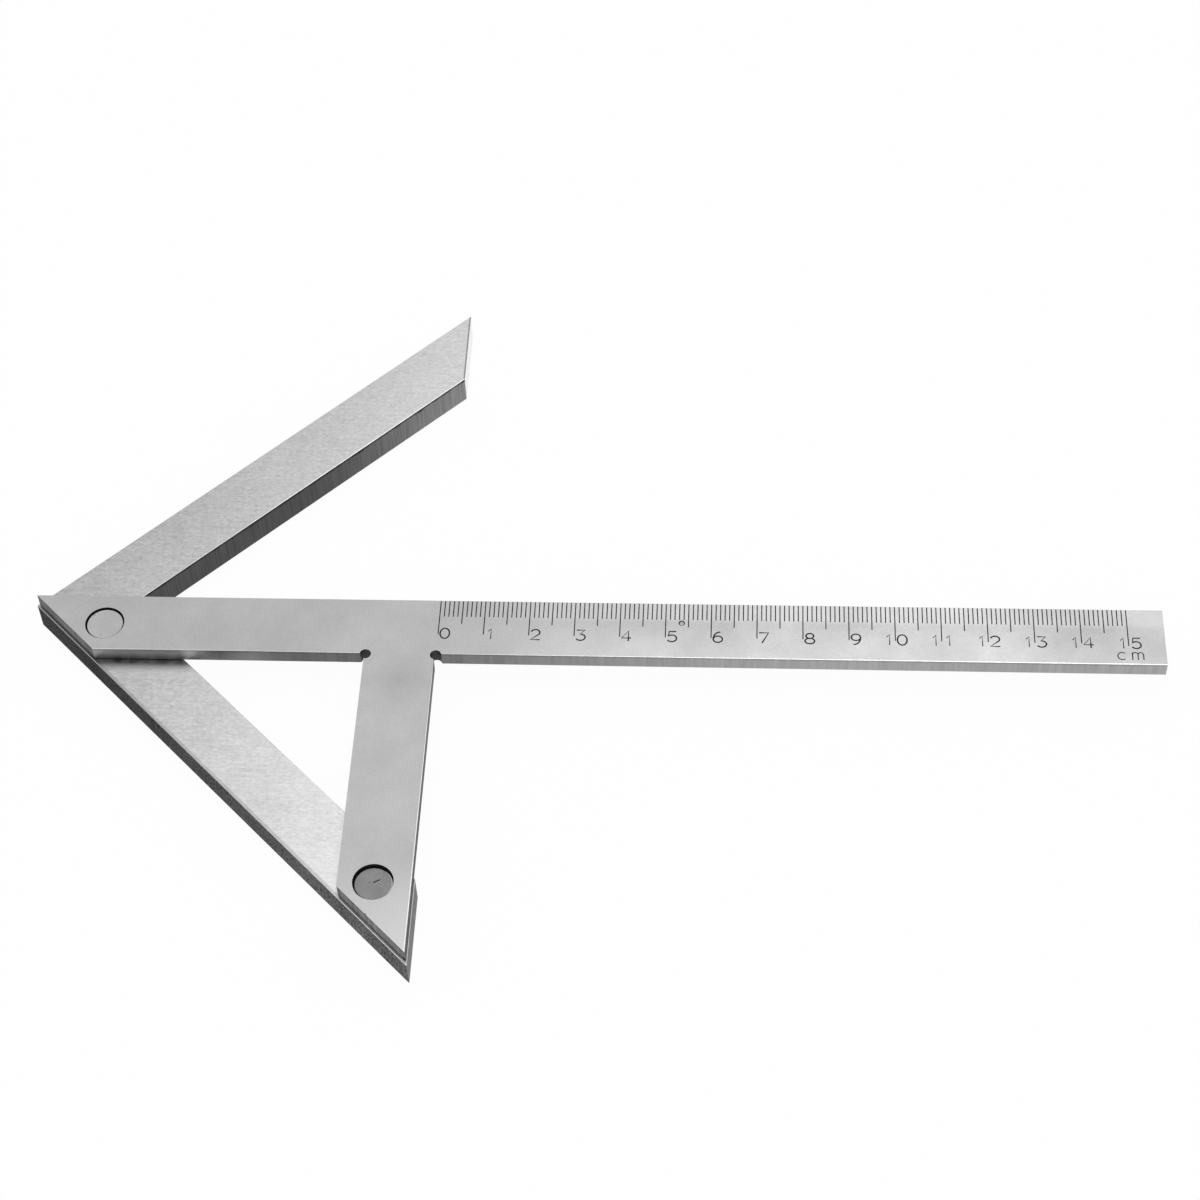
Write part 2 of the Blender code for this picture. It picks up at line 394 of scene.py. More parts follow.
frameSteel = {
    "roughness": 0.33, "dark": 0.30, "light": 0.54,
    "tipDark": 0.56, "tipLight": 0.83, "tipReach": 0.095, "tipSlope": 0.30,  # painted highlight, paler out on the lower arm
    "line": (0.0013, 0.00023), "mottle": (0.0009, 0.0007), "run": (0.009, 0.0003)}  # lengths and widths
framePaintedShading = {
    "paintedShade": 0.06, "paintedShadeShare": 0.9, "paintedShadeWidth": 0.0019, "paintedShadeFull": 0.45,  # painted shade beside the plate
    "paintedLight": 0.85, "paintedLightShare": 0.20, "paintedLightNear": 0.0025, "paintedLightFar": 0.0058,  # painted light, outside the painted shade
    "ledge": 0.15, "ledgeShare": 0.35, "ledgeFade": 0.0003,  # painted shade where the plate stands back from the arm
    "tipLedge": 1.0, "tipLedgeFrom": 0.0798, "tipLedgeFull": 0.0806,
    "blotSpot": (0.08122, -0.0901), "blotRadius": 0.0008,
    "endLine": 0.2, "endLineFrom": 0.00045, "endLineFull": 0.0002,  # painted shade at the upper arm's end
    "lowPart": (-0.050, -0.051)}  # the strut's lower half is past this Y
plateSteel = {
    "roughness": 0.32, "dark": 0.372, "light": 0.487, "grain": 0.0005, "cloud": 0.014,
    "paleEnd": 0.62, "paleRuler": 0.32, "paleStrut": 0.8}  # a painted highlight's paler tone, and its shares at the two ends
plateMarksAndShade = {
    "smudge": 0.2, "smudgeSpot": (0.0745, -0.0224), "smudgeRadius": 0.010, "smudgeShare": 0.3,
    "ring": 0.1, "ringFull": 0.00006, "ringWidth": 0.00016,  # painted shade round the lower part of the strut rivet's hole
    "scratch": 0.72, "scratchShare": 0.3, "scratches": [  # start, end, width, depth
        ((0.0754, -0.0706), (0.0768, -0.0738), 0.00035, 1.0),
        ((0.0767, -0.0735), (0.0775, -0.0755), 0.0003, 0.8),
        ((0.0120, -0.0098), (0.0135, -0.0112), 0.00025, 0.5)]}
sideSteel = {"roughness": 0.42, "edgeTint": 0.45}


def groundTop():
    # surface-ground top of the frame: fine short lines along X, painted shade and painted light beside the
    # plate, painted highlights out on the arms
    look = Finish("groundFrameTop", roughness=frameSteel["roughness"])
    fineScale, mottleScale, runScale = [
        (1 / frameSteel[key][0], 1 / frameSteel[key][1], 200) for key in ("line", "mottle", "run")]
    fine = look.noise(fineScale, detail=3.0, rough=0.6)
    mottle = look.noise(mottleScale, detail=4.0, rough=0.7, shift=(3, 7, 0))
    runs = look.noise(runScale, detail=2.0, shift=(8, 2, 0))
    cloud = look.noise((70, 70, 70), detail=3.0, shift=(1, 2, 3))
    fine, mottle, runs = [look.spread(pattern, 0.3, 0.7) for pattern in (fine, mottle, runs)]
    lines = fine * 0.3 + mottle * 0.5 + runs * 0.2
    share = look.spread(lines * 0.75 + cloud * 0.25, 0.2, 0.8)
    along, across = look.axis("X"), look.axis("Y")
    # painted highlight: the top grows paler out towards the arm tips, most on the lower arm
    tips = look.spread(along - across * frameSteel["tipSlope"], 0.0, frameSteel["tipReach"])
    base = look.tone(grey(frameSteel["dark"]), grey(frameSteel["light"]), share)
    pale = look.tone(grey(frameSteel["tipDark"]), grey(frameSteel["tipLight"]), share)
    colour = look.tone(base, pale, tips)

    # masks: the frame's upper half, the lower part of the strut, the ruler's strut side, the free ledge
    top = look.spread(look.axis("Z"), 0.003, 0.004)
    lowPart = look.spread(across, *framePaintedShading["lowPart"])
    nearEdge = -plate["rulerWidth"]
    strutHalf = look.spread(across, nearEdge + 0.001, nearEdge + 0.0012, 1.0, 0.0) * top
    inward = (along + across + halfMitre) * math.cos(armAngle)
    inset = plate["endInset"]
    onLedge = look.spread(inward, inset, inset + framePaintedShading["ledgeFade"], 1.0, 0.0) * top

    # painted light: a paler band on the lower arm a little way out from the ruler
    paintedLight = look.spread(across, nearEdge - framePaintedShading["paintedLightFar"], nearEdge - framePaintedShading["paintedLightNear"])
    colour = look.tone(colour, grey(framePaintedShading["paintedLight"]), paintedLight * strutHalf * framePaintedShading["paintedLightShare"])
    # painted shade along the ruler's near edge and the strut's left edge, in patches
    width = framePaintedShading["paintedShadeWidth"]
    patchy = look.spread(look.noise((500, 500, 500), detail=2.0, shift=(2, 2, 2)), 0.3, 0.7, 0.55, 1.0)
    besideRuler = look.spread(across, nearEdge - width, nearEdge - width * framePaintedShading["paintedShadeFull"])
    besideStrut = look.spread(along, strutLeft - width / 2, strutLeft) * lowPart
    paintedShade = besideStrut * besideStrut * (1.0 - onLedge) * top * 0.9
    paintedShade = (besideRuler * strutHalf).maths("MAXIMUM", paintedShade) * patchy
    colour = look.tone(colour, grey(framePaintedShading["paintedShade"]), paintedShade * framePaintedShading["paintedShadeShare"])
    # painted shade on the ledge where the plate stands back from the arm
    colour = look.tone(colour, grey(framePaintedShading["ledge"]), onLedge * framePaintedShading["ledgeShare"])
    # painted highlight: white on the ledge by the strut's tip
    tipLedge = look.spread(along, framePaintedShading["tipLedgeFrom"], framePaintedShading["tipLedgeFull"]) * onLedge * lowPart
    colour = look.tone(colour, grey(framePaintedShading["tipLedge"]), tipLedge * 0.9)
    # painted shade: a dark spot by the strut's tip
    blot = look.blot(framePaintedShading["blotSpot"], framePaintedShading["blotRadius"]) * top
    colour = look.tone(colour, grey(framePaintedShading["paintedShade"]), blot)
    # painted shade: a dark line along the upper arm's end edge
    endLine = look.spread(along, mouthX - framePaintedShading["endLineFrom"], mouthX - framePaintedShading["endLineFull"])
    endLine = endLine * look.spread(across, 0.0, 0.001)
    colour = look.tone(colour, grey(framePaintedShading["endLine"]), endLine * top * 0.9)
    rough = look.spread(lines, 0.0, 1.0, frameSteel["roughness"] + 0.05, frameSteel["roughness"] - 0.05)
    return look.wear(colour, rough, lines, depth=2e-6, strength=0.5)


def satinPlate():
    # finely ground satin plate: a soft mottle, hardly any direction, a few handling marks, painted highlights
    # towards its ends and a painted shade line by the strut rivet
    look = Finish("satinPlateTop", roughness=plateSteel["roughness"])
    grainSize, cloudSize = plateSteel["grain"], plateSteel["cloud"]
    grain = look.noise((1 / grainSize, 1.3 / grainSize, 500), detail=3.0, rough=0.65)
    cloud = look.noise((1 / cloudSize, 1 / cloudSize, 50), detail=3.0, rough=0.6, shift=(4, 1, 0))
    share = look.spread(grain, 0.3, 0.7) * 0.4 + look.spread(cloud, 0.3, 0.7) * 0.6
    colour = look.tone(grey(plateSteel["dark"]), grey(plateSteel["light"]), share)

    # painted highlight: paler along both edges of the ruler past the V, and towards the strut's end
    along, across = look.axis("X"), look.axis("Y")
    nearEdge = look.spread(across, -plate["rulerWidth"], -0.006, 1.0, 0.0) * look.spread(along, 0.085, 0.11)
    farEdge = look.spread(across, -0.0053, -0.0040) * look.spread(along, 0.088, 0.108)
    ruler = nearEdge.maths("MAXIMUM", farEdge) * plateSteel["paleRuler"]
    strut = look.spread(across, -0.094, -0.068, 1.0, 0.0)
    strut = strut * look.spread(along, strutLeft - 0.005, strutRight, 0.6, 1.0) * plateSteel["paleStrut"]
    colour = look.tone(colour, grey(plateSteel["paleEnd"]), ruler.maths("MAXIMUM", strut))

    smudge = look.blot(plateMarksAndShade["smudgeSpot"], plateMarksAndShade["smudgeRadius"])
    colour = look.tone(colour, grey(plateMarksAndShade["smudge"]), smudge * smudge * plateMarksAndShade["smudgeShare"])
    strokes = [look.streak(start, end, width) * depth for start, end, width, depth in plateMarksAndShade["scratches"]]
    scratches = strokes[0].maths("MAXIMUM", strokes[1]).maths("MAXIMUM", strokes[2])
    colour = look.tone(colour, grey(plateMarksAndShade["scratch"]), scratches * plateMarksAndShade["scratchShare"])
    # painted shade: a dark line round the lower rim of the strut rivet's hole
    fromX, fromY = look.spot(strutSpot)
    radius = (fromX * fromX + fromY * fromY).maths("SQRT")
    fromRim = (radius - strutFit["head"] - strutFit["gap"]).maths("ABSOLUTE")
    rim = look.spread(fromRim, plateMarksAndShade["ringFull"], plateMarksAndShade["ringWidth"], 1.0, 0.0)
    rim = rim * look.spread(fromY, -0.0030, -0.0018, 0.8, 0.0)
    colour = look.tone(colour, grey(plateMarksAndShade["ring"]), rim)
    rough = look.spread(share, 0.0, 1.0, plateSteel["roughness"] + 0.05, plateSteel["roughness"] - 0.04)
    return look.wear(colour, rough, grain, depth=2e-6, strength=0.4)


def millSide(name, tones, reach, ribWidth, ribDepth, axis="X", upright=60, edgeTint=sideSteel["edgeTint"],
             strips=(), lifts=(), corner=None):
    # side face, cut across its length: upright ribs, its tone running from one to the other over the reach, a
    # painted gradient of light;
    # a strip is painted shade, darker between two heights, with its depth at each, up to a place along X;
    # a lift is painted light, another tone up to one place along X, gone at a second;
    # a corner is a painted shade spot, dark from the foot up to a height, coming on between two places along
    # X
    look = Finish(name, roughness=sideSteel["roughness"])
    look.shader.inputs["Specular Tint"].default_value = grey(edgeTint)
    ribs = look.noise((1 / ribWidth, 1 / ribWidth, upright), detail=2.5, rough=0.6)
    cloud = look.noise((90, 90, 90), detail=2.0, shift=(5, 1, 2))
    share = look.spread(ribs, 0.35, 0.65) * 0.8 + look.spread(cloud, 0.3, 0.7) * 0.2
    rise = look.node("ShaderNodeMapRange", {"interpolation_type": "SMOOTHSTEP"},
                     {"Value": look.axis(axis), "From Min": reach[0], "From Max": reach[1]})
    start, end = [
        look.tone(grey(tone * (1 - ribDepth)), grey(tone * (1 + ribDepth)), share) for tone in tones]
    colour = look.tone(start, end, rise)
    for tone, full, gone in lifts:
        colour = look.tone(colour, grey(tone), look.spread(look.axis("X"), full, gone, 1.0, 0.0))
    for low, high, depthLow, depthHigh, endX in strips:
        soft = look.noise((260, 260, 120), detail=3.0, rough=0.6, shift=(6, 6, 6))
        level = look.axis("Z") + look.spread(soft, 0.3, 0.7, low - high, high - low) * 0.4
        strip = look.spread(level, low, high, depthLow, depthHigh)
        strip = strip * look.spread(look.axis("X"), endX - 0.003, endX, 1.0, 0.0)
        colour = look.tone(colour, grey(0.02), strip)
    if corner:
        fromX, fullX, height = corner
        dark = look.spread(look.axis("X"), fromX, fullX)
        dark = dark * look.spread(look.axis("Z"), height - 0.0005, height, 1.0, 0.0)
        colour = look.tone(colour, grey(0.01), dark)
    rough = look.spread(ribs, 0.3, 0.7, sideSteel["roughness"] + 0.06, sideSteel["roughness"] - 0.04)
    return look.wear(colour, rough, ribs, depth=6e-6, strength=0.4)


def brightEdge(name, dark, light, reach=None, dull=0.45, axis="X", metallic=1.0):
    # a broken edge painted as a highlight, in patches from dark to light, to which it rises from a dull tone
    # over the reach
    look = Finish(name, metallic=metallic, roughness=0.3)
    patches = look.noise((600, 600, 600), detail=3.0, rough=0.6)
    colour = look.tone(grey(dark), grey(light), look.spread(patches, 0.35, 0.6))
    if reach:
        colour = look.tone(grey(dull), colour, look.spread(look.axis(axis), reach[0], reach[1]))
    return look.wear(colour, look.spread(patches, 0.3, 0.7, 0.36, 0.24))


def darkCut(name, dark, light, roughness=0.6, metallic=0.3):
    # walls and floors of what is cut or punched, with fine specks
    look = Finish(name, metallic=metallic, roughness=roughness)
    specks = look.noise((3000, 3000, 3000), detail=2.0)
    colour = look.tone(grey(dark), grey(light), look.spread(specks, 0.3, 0.7))
    return look.wear(colour, look.spread(specks, 0.3, 0.7, roughness + 0.1, roughness - 0.05))


def rivetSteel(name, dark, light, roughness, dents):
    # turned head; each dent is a dark stroke: start, end, width, depth
    look = Finish(name, roughness=roughness)
    grain = look.noise((2500, 2500, 400), detail=3.0, rough=0.6)
    cloud = look.noise((260, 260, 260), detail=2.0, shift=(2, 5, 1))
    share = look.spread(grain, 0.3, 0.7) * 0.45 + look.spread(cloud, 0.3, 0.7) * 0.55
    colour = look.tone(grey(dark), grey(light), share)
    for start, end, width, depth in dents:
        colour = look.tone(colour, grey(0.03), look.streak(start, end, width) * depth)
    rough = look.spread(grain, 0.3, 0.7, roughness + 0.06, roughness - 0.04)
    return look.wear(colour, rough, grain, depth=4e-6, strength=0.4)


frameTop = groundTop()
plateTop = satinPlate()
# side faces: darker than the tops partly for their rougher finish and partly as painted shade
outerSide = millSide("milledOuterSide", (0.054, 0.165), (0.0, 0.075), ribWidth=0.0004, ribDepth=0.8,
                     upright=1400)
# painted shade under the top edge of the arms' inner sides
stockSide = millSide("groundStockSide", (0.092, 0.29), (0.045, 0.09), ribWidth=0.0003, ribDepth=0.22,
                     strips=[(0.0060, 0.0067, 0.0, 0.95, 1.0)])
# end faces, a shaded and a lit copy of one finish: the lower arm's is painted shade, the upper arm's pale one
# a painted reflection
endSide = millSide("groundEndSide", (0.30, 0.30), (-0.02, 0.03), ribWidth=0.0004, ribDepth=0.2, axis="Y",
                   upright=300)
paleEnd = millSide("paleEndSide", (0.92, 0.92), (-0.02, 0.03), ribWidth=0.0004, ribDepth=0.04, axis="Y",
                   edgeTint=1.0)
# plate side: painted shade low down over the V and under the top edge, painted light where it passes the arm
plateSide = millSide("groundPlateSide", (0.160, 0.405), (0.05, 0.165), ribWidth=0.0008, ribDepth=0.08,
                     strips=[(0.0075, 0.0092, 0.45, 0.0, 0.0275), (0.0100, 0.0104, 0.0, 0.3, 1.0)],
                     lifts=[(0.26, 0.040, 0.048), (0.62, 0.0295, 0.0335), (0.32, 0.0245, 0.0265)])
rulingSide = millSide("groundRulingSide", (0.16, 0.40), (0.05, 0.165), ribWidth=0.0008, ribDepth=0.08)
strutSide = millSide("groundStrutSide", (0.16, 0.22), (-0.09, -0.02), ribWidth=0.0006, ribDepth=0.2, axis="Y")
# slanting end: painted shade at its foot, under its top edge and in a dark spot at the strut's tip
slantSide = millSide("milledSlantSide", (0.228, 0.285), (0.0, 0.08), ribWidth=0.0004, ribDepth=0.35,
                     strips=[(0.0073, 0.0080, 0.45, 0.0, 1.0), (0.0098, 0.0104, 0.0, 0.4, 1.0)],
                     corner=(0.0803, 0.0806, 0.0082))
# painted highlights on broken edges, each rising from a dull tone where a reach is given
paintedHighlightEdge = brightEdge("paintedHighlightEdge", 0.62, 0.88)
rulerEdge = brightEdge("paintedHighlightRulerEdge", 0.78, 0.92, reach=(0.02, 0.10), dull=0.60)
slantEdge = brightEdge("paintedHighlightSlantEdge", 0.80, 0.95, reach=(0.03, 0.08), dull=0.42)
armEdge = brightEdge("paintedHighlightArmEdge", 0.82, 0.98, reach=(0.02, 0.06))
outerEdge = brightEdge("paintedHighlightOuterEdge", 0.50, 0.72, reach=(0.02, 0.06), dull=0.38)
whiteEdge = brightEdge("paintedHighlightStrutEdge", 0.85, 0.97, reach=(-0.0165, -0.0205), dull=0.2, axis="Y")
strutRim = brightEdge("paintedHighlightRivetRim", 0.80, 0.95, reach=(0.0755, 0.0768), dull=0.06, metallic=0.0)
softEdge = brightEdge("softEdge", 0.45, 0.60)
dullEdge = brightEdge("dullEdge", 0.15, 0.25)
inkLine = darkCut("blackenedLine", 0.012, 0.03)
# painted shade: the rivet holes' walls near black, the relief holes' walls and the nick dark
holeWall = darkCut("darkHoleWall", 0.008, 0.02)
reliefWall = darkCut("drilledReliefWall", 0.03, 0.07, roughness=0.5, metallic=0.8)
dimpleWall = darkCut("punchedDimpleWall", 0.07, 0.14, roughness=0.45, metallic=0.9)
dimpleFloor = darkCut("punchedDimple", 0.34, 0.46, roughness=0.4, metallic=1.0)
apexFace = rivetSteel("groundRivetFace", 0.38, 0.46, roughness=0.34, dents=[
    ((0.0062, -0.0109), (0.0067, -0.01095), 0.0003, 0.6), ((0.0106, -0.0086), (0.0110, -0.0083), 0.0003, 0.7),
    ((0.0038, -0.0057), (0.0044, -0.0051), 0.0008, 0.7), ((0.0048, -0.0050), (0.0054, -0.0049), 0.0006, 0.3),
    ((0.0061, -0.0050), (0.0068, -0.0050), 0.0007, 0.4)])
strutFace = rivetSteel("plainRivetFace", 0.183, 0.257, roughness=0.45, dents=[
    ((0.0731, -0.07420), (0.07485, -0.07325), 0.00042, 1.0),
    ((0.0723, -0.07435), (0.0728, -0.07385), 0.0003, 0.7)])
print("steel finishes made")


# The V frame: one arm, mirrored

def buildFrame():
    length = vee["legLength"] + vee["barBehind"] + vee["barPast"]
    middle = length / 2 - vee["barBehind"]
    piece = block("vFrame", (middle * math.cos(armAngle), middle * math.sin(armAngle), vee["thickness"] / 2),
                  (length, vee["armWidth"], vee["thickness"]), (0, 0, armAngle))
    cutOff(piece, (0, 0, 0), (0, -1, 0), fill=False)
    cutOff(piece, (mouthX, 0, 0), (1, 0, 0))
    other = piece.modifiers.new("lowerArm", "MIRROR")
    other.use_axis = (False, True, False)
    other.merge_threshold = 1e-6
    alone(piece)
    bpy.ops.object.modifier_apply(modifier=other.name)
    weld(piece)
    edit(piece)
    bpy.ops.mesh.normals_make_consistent(inside=False)
    leave()
    mergeFlats(piece)
    breakEdges(piece, vee["edgeBreak"], vee["edgeSteps"], lambda edge: turnOf(edge) > 0.3)
    piece.data.materials.append(frameTop)
    paint(piece, outerSide, isSide)
    paint(piece, stockSide, lambda face: isSide(face) and face.normal.x > 0.5)
    paint(piece, endSide, lambda face: face.normal.x > 0.95)
    paint(piece, paleEnd, lambda face: face.normal.x > 0.95 and middleOf(face).y > 0)
    paint(piece, softEdge, isBrokenTop)
    paint(piece, dullEdge, lambda face: isBroken(face) and face.normal.z < 0)
    paint(piece, armEdge, lambda face: isBrokenTop(face) and face.normal.y < -0.1 and face.normal.x > 0.1)
    paint(piece, outerEdge, lambda face: isBrokenTop(face) and face.normal.y < -0.1 and face.normal.x < -0.1)
    # painted shade along the upper arm's end edge
    paint(piece, dullEdge, lambda face: isBrokenTop(face) and abs(face.normal.y) < 0.05
          and middleOf(face).y > 0)
    carve(piece, rivetHole("apexHole", apexSpot, apexFit), holeWall)
    carve(piece, rivetHole("strutHole", strutSpot, strutFit), holeWall)
    return piece


veeFrame = buildFrame()
finishPiece(veeFrame, "v_frame")
print("V frame:", len(veeFrame.data.polygons), "faces")


# The plate: ruler and strut in one piece

def buildPlate():
    start, width = plate["barStart"], plate["rulerWidth"]
    piece = block("rulerPlate", ((start + rulerEnd) / 2, -width / 2, (plateLow + plateHigh) / 2),
                  (rulerEnd - start, width, plateHigh - plateLow))
    for x in (strutLeft, strutRight):
        cutOff(piece, (x, 0, 0), (1, 0, 0), fill=False, away=False)
    pick(piece, "FACE", lambda face: face.normal.y < -0.9 and strutLeft < middleOf(face).x < strutRight)
    bpy.ops.mesh.extrude_region_move(TRANSFORM_OT_translate={"value": (0, -plate["strutReach"], 0)})
    leave()
    inOrder(piece)
    cutOff(piece, slantPoint(plate["endInset"]), slant)
    mergeFlats(piece)
    corner = Vector((strutLeft, slantY(strutLeft, plate["endInset"])))
    pick(piece, "EDGE", lambda edge: all((vert.co.xy - corner).length < closeTo for vert in edge.verts))
    cut = plate["cornerRadius"] * math.tan(math.radians(22.5))
    bpy.ops.mesh.bevel(offset=cut, segments=6, affect="EDGES")
    leave()
    return piece


def isTopEdge(edge, axis, place):
    # along the plate's top, at one place on the axis
    return all(abs(vert.co[axis] - place) < closeTo and vert.co.z > plateHigh - closeTo
               for vert in edge.verts)


rulerPlate = buildPlate()
print("plate outline:", len(rulerPlate.data.polygons), "faces")
breakEdges(rulerPlate, plate["strutRightBreak"], plate["edgeSteps"], lambda edge: isTopEdge(edge, 0, strutRight))
breakEdges(rulerPlate, plate["rulerBreak"], plate["edgeSteps"],
           lambda edge: isTopEdge(edge, 1, -plate["rulerWidth"]), clamp=False)
breakEdges(rulerPlate, plate["edgeBreak"], plate["edgeSteps"],
           lambda edge: turnOf(edge) > 0.6 and abs(edge.verts[0].co.z - edge.verts[1].co.z) < 0.001)
rulerPlate.data.materials.append(plateTop)
paint(rulerPlate, plateSide, isSide)
paint(rulerPlate, rulingSide, lambda face: face.normal.y > 0.95)
paint(rulerPlate, strutSide, lambda face: abs(face.normal.x) > 0.95 and middleOf(face).y < -0.02)
paint(rulerPlate, slantSide, lambda face: isSide(face) and face.normal.dot(slant) > 0.9)
paint(rulerPlate, softEdge, isBroken)
paint(rulerPlate, paintedHighlightEdge, lambda face: isBrokenTop(face) and face.normal.dot(slant) < 0.5
      and middleOf(face).y < -0.001)
paint(rulerPlate, rulerEdge, lambda face: isBrokenTop(face) and face.normal.y < -0.2
      and abs(face.normal.x) < 0.2)
paint(rulerPlate, slantEdge, lambda face: isBrokenTop(face) and face.normal.dot(slant) > 0.2
      and abs(face.normal.x - face.normal.y) < 0.1)
paint(rulerPlate, whiteEdge, lambda face: isBrokenTop(face) and face.normal.x > 0.2
      and middleOf(face).y < -0.02)
for cornerX in (strutLeft, strutRight):
    spot = (cornerX + plate["reliefShift"], -plate["rulerWidth"] - plate["reliefDrop"])
    rings = [(plate["reliefRadius"], height) for height in (plateLow - pastFace, plateHigh + pastFace)]
    carve(rulerPlate, stack("relief", spot, rings, 48), reliefWall)
carve(rulerPlate, rivetHole("apexHole", apexSpot, apexFit), holeWall)
carve(rulerPlate, rivetHole("strutHole", strutSpot, strutFit), holeWall)
weld(rulerPlate)
print("plate with its holes:", len(rulerPlate.data.polygons), "faces")


# Punched dimple on the ruler and the nick in the strut's slanting end

dimple = {"spot": (0.13516, -0.00538), "radius": 0.00074, "depth": 0.0003}
nick = {"spot": (0.07236, -0.08226), "radius": 0.00032, "depth": 0.0005}
pastTop = 0.0002


def dimpleCutter():
    radius, depth = dimple["radius"], dimple["depth"]
    cutter = stack("dimple", dimple["spot"], [
        (radius * 0.5, plateHigh - depth), (radius * 0.62, plateHigh - depth * 0.85), (radius, plateHigh),
        (radius * 1.1, plateHigh + pastTop)], 32)
    cutter.data.materials.append(dimpleWall)
    paint(cutter, dimpleFloor, lambda face: face.normal.z < -0.8)
    return cutter


def nickCutter():
    return stack("nick", nick["spot"], [
        (nick["radius"] * 0.3, plateHigh - nick["depth"]), (nick["radius"], plateHigh + pastTop)], 12)


carve(rulerPlate, dimpleCutter())
carve(rulerPlate, nickCutter(), reliefWall)
print("dimple and nick made")


# Scale lines: a bar on its edge, copied for each line

def lineBar(length):
    side = scale["halfWidth"] * math.sqrt(2)
    return block("lineBar", (zeroX, (pastFace - length) / 2, plateHigh), (side, length + pastFace, side),
                 (0, math.radians(45), 0))


def scaleLines():
    bars = {key: lineBar(scale[key]) for key in ("last", "long", "middle", "short")}
    lines = []
    count = round(scale["length"] / scale["division"])
    for index in range(count + 1):
        key = "long" if index % 10 == 0 else "middle" if index % 5 == 0 else "short"
        if index == count:
            key = "last"
        lines.append(copyAt(bars[key], (index * scale["division"], 0, 0)))
    for bar in bars.values():
        bpy.data.objects.remove(bar, do_unlink=True)
    return joinAll("scaleLines", lines)


carve(rulerPlate, scaleLines(), inkLine)
print("scale lines cut:", len(rulerPlate.data.polygons), "faces")


# Figures: one engraver's stroke, drawn in a cell that is one wide and one high

figures = {"last": 15, "pitch": 0.01, "width": 0.00208, "height": 0.00283, "top": 0.00776,
           "left": 0.00044, "tensLeft": -0.00250, "lastNudge": 0.00016,  # from a figure's own line
           "strokeRadius": 0.00019, "thinStroke": 0.00014, "lift": 0.00003}
letters = {"top": 0.01168, "height": 0.00200,
           "c": {"left": 0.14748, "width": 0.00188}, "m": {"left": 0.1506, "width": 0.00235}}


def arc(centre, radii, start, end, steps=12):
    points = []
    for step in range(steps + 1):
        angle = math.radians(start + (end - start) * step / steps)
        points.append((centre[0] + radii[0] * math.cos(angle), centre[1] + radii[1] * math.sin(angle)))
    return points


def ring(centre, radii, start=90, steps=24):
    return arc(centre, radii, start, start + 360, steps)[:-1] + ["closed"]


six = [ring((0.5, 0.31), (0.48, 0.31), 175, 20),
       [(0.02, 0.37), (0.06, 0.56), (0.17, 0.76), (0.36, 0.92), (0.58, 0.99), (0.76, 1.0)]]
signs = {
    "0": [ring((0.5, 0.5), (0.5, 0.5))],
    "1": [[(0.3, 0.75), (0.6, 1.0), (0.6, 0.0)]],
    "2": [arc((0.5, 0.70), (0.46, 0.30), 165, -28) + [(0.02, 0.0), (1.0, 0.0)]],
    "3": [[(0.06, 1.0), (0.9, 1.0), (0.42, 0.6)] + arc((0.47, 0.3), (0.5, 0.3), 70, -150)],
    "4": [[(0.72, 0.0), (0.72, 1.0), (0.0, 0.3), (1.0, 0.3)]],
    "5": [[(0.92, 1.0), (0.2, 1.0), (0.1, 0.55)] + arc((0.48, 0.33), (0.5, 0.33), 135, -150)],
    "6": six,
    "7": [[(0.0, 1.0), (1.0, 1.0), (0.32, 0.0)]],
    "8": [ring((0.5, 0.755), (0.4, 0.245)), ring((0.5, 0.265), (0.5, 0.265))],
    "9": [[point if point == "closed" else (1 - point[0], 1 - point[1]) for point in path] for path in six],
    "c": [arc((0.5, 0.5), (0.5, 0.5), 50, 310, 16)],
    "m": [[(0.0, 0.0), (0.0, 1.0)],
          [(0.0, 0.72)] + arc((0.25, 0.68), (0.25, 0.32), 160, 0, 8) + [(0.5, 0.0)],
          [(0.5, 0.68)] + arc((0.75, 0.68), (0.25, 0.32), 160, 0, 8) + [(1.0, 0.0)]],
}


def strokeTube(path, left, top, width, height, radius):
    closed = path[-1] == "closed"
    points = [point for point in path if point != "closed"]
    curve = bpy.data.curves.new("stroke", "CURVE")
    curve.dimensions = "3D"
    curve.bevel_depth = radius
    curve.bevel_resolution = 2
    curve.use_fill_caps = not closed
    spline = curve.splines.new("POLY")
    spline.points.add(len(points) - 1)
    for knot, (u, v) in zip(spline.points, points):
        knot.co = (left + u * width, -top - (1 - v) * height, plateHigh + figures["lift"], 1)
    spline.use_cyclic_u = closed
    drawn = bpy.data.objects.new("stroke", curve)
    bpy.context.scene.collection.objects.link(drawn)
    alone(drawn)
    bpy.ops.object.convert(target="MESH")
    return bpy.context.object


def placeSigns():
    # each sign with its left, top, width and height
    cell = (figures["top"], figures["width"], figures["height"])
    placed = []
    for number in range(figures["last"] + 1):
        left = zeroX + number * figures["pitch"] + (figures["lastNudge"] if number == figures["last"] else 0)
        digits = str(number)
        if len(digits) == 2:
            placed.append((digits[0], left + figures["tensLeft"], *cell))
        placed.append((digits[-1], left + figures["left"], *cell))
    for sign in "cm":
        letter = letters[sign]
        placed.append((sign, zeroX + letter["left"], letters["top"], letter["width"], letters["height"]))
    return placed


def drawSigns():
    # one list of tubes for each layer, so that no two tubes of a layer cross
    layers = {}
    for sign, *cell in placeSigns():
        radius = figures["thinStroke" if sign in "1cm" else "strokeRadius"]
        for layer, path in enumerate(signs[sign]):
            layers.setdefault(layer, []).append(strokeTube(path, *cell, radius))
    return [joinAll("figures", tubes) for tubes in layers.values()]


for tubes in drawSigns():
    carve(rulerPlate, tubes, inkLine, crossing=True)
weld(rulerPlate)
print("figures cut:", len(rulerPlate.data.polygons), "faces")
finishPiece(rulerPlate, "ruler_plate")


# Rivets

